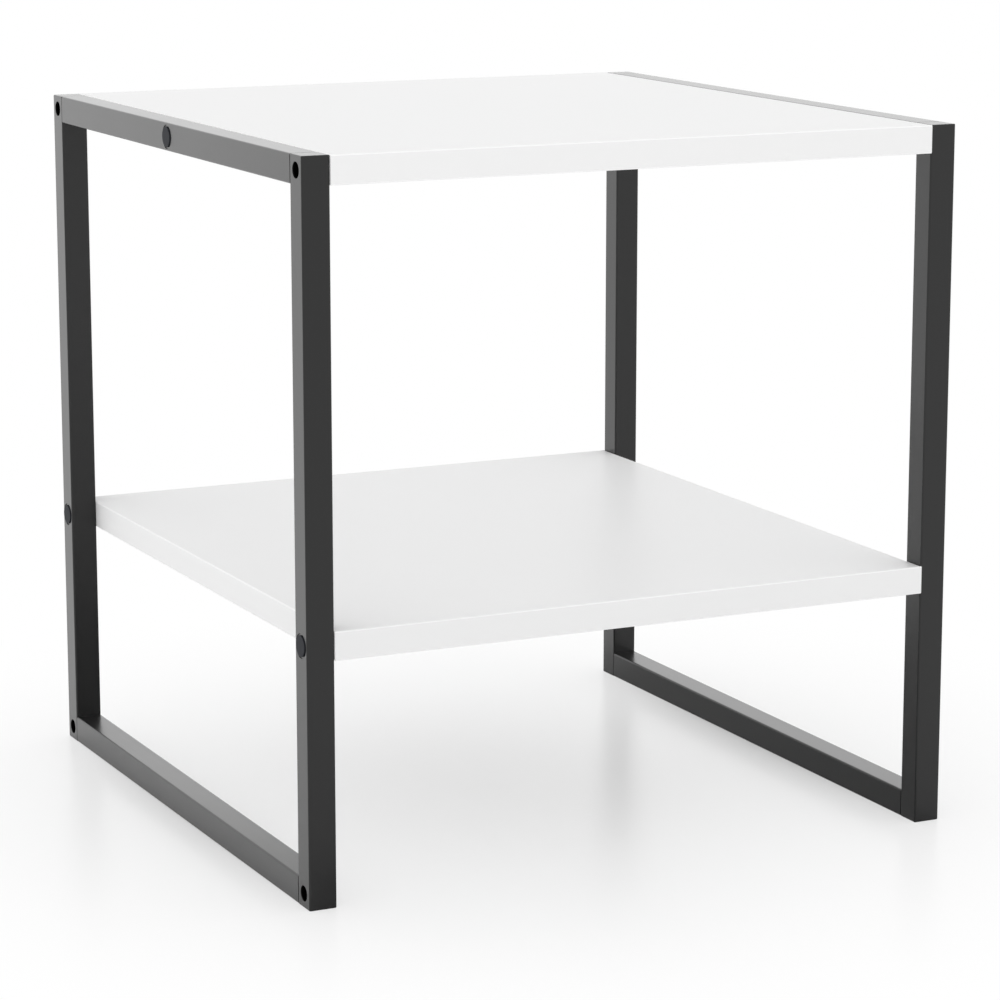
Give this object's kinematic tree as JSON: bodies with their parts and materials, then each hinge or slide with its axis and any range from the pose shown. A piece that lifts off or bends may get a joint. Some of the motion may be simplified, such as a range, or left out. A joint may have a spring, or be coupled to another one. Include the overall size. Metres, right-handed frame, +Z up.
{
  "type": "end table with shelf",
  "caption": "Square end table with a white top board and a low white shelf held between two black square-tube side frames.",
  "frame": {"origin": "on the floor, at the middle of the footprint", "axes": "+Z up, +X to the table's right as seen from the front, +Y from front to back"},
  "size_m": [0.4984, 0.497, 0.508],
  "materials": {
    "black_powder_coat": "satin black powder coat with a very fine texture",
    "steel_connector": "plain zinc-plated steel, hidden",
    "white_board": "matt white melamine face on particle board",
    "white_edge_band": "matt white edge band with a rounded edge",
    "dark_cap_plastic": "smooth satin dark grey moulded plastic",
    "black_oxide_bolt": "black oxide",
    "zinc_nut": "bright zinc, hidden",
    "brass_insert": "plain brass, hidden"
  },
  "bodies": {
    "root": {"leg_front_left": "black_powder_coat", "leg_rear_left": "black_powder_coat", "leg_front_right": "black_powder_coat", "leg_rear_right": "black_powder_coat", "top_rail_left": "black_powder_coat", "top_rail_right": "black_powder_coat", "bottom_rail_left": "black_powder_coat", "bottom_rail_right": "black_powder_coat", "leg_top_plate_front_left": "black_powder_coat", "leg_top_plate_rear_left": "black_powder_coat", "leg_top_plate_front_right": "black_powder_coat", "leg_top_plate_rear_right": "black_powder_coat", "leg_foot_plate_front_left": "black_powder_coat", "leg_foot_plate_rear_left": "black_powder_coat", "leg_foot_plate_front_right": "black_powder_coat", "leg_foot_plate_rear_right": "black_powder_coat", "connector_top_front_left": "steel_connector", "connector_top_rear_left": "steel_connector", "connector_top_front_right": "steel_connector", "connector_top_rear_right": "steel_connector", "connector_bottom_front_left": "steel_connector", "connector_bottom_rear_left": "steel_connector", "connector_bottom_front_right": "steel_connector", "connector_bottom_rear_right": "steel_connector", "top_board": "white_board", "shelf_board": "white_board", "top_band_front": "white_edge_band", "top_band_rear": "white_edge_band", "top_band_left": "white_edge_band", "top_band_right": "white_edge_band", "shelf_band_front": "white_edge_band", "shelf_band_rear": "white_edge_band", "shelf_band_left": "white_edge_band", "shelf_band_right": "white_edge_band", "cap_rail_left": "dark_cap_plastic", "cap_rail_right": "dark_cap_plastic", "cap_shelf_front_left": "dark_cap_plastic", "cap_shelf_rear_left": "dark_cap_plastic", "cap_shelf_front_right": "dark_cap_plastic", "cap_shelf_rear_right": "dark_cap_plastic", "corner_bolts_top": "black_oxide_bolt", "corner_bolts_bottom": "black_oxide_bolt", "shelf_bolts": "black_oxide_bolt", "rail_bolts": "black_oxide_bolt", "weld_nuts": "zinc_nut", "top_inserts": "brass_insert", "shelf_inserts": "brass_insert"}
  },
  "joints": []
}
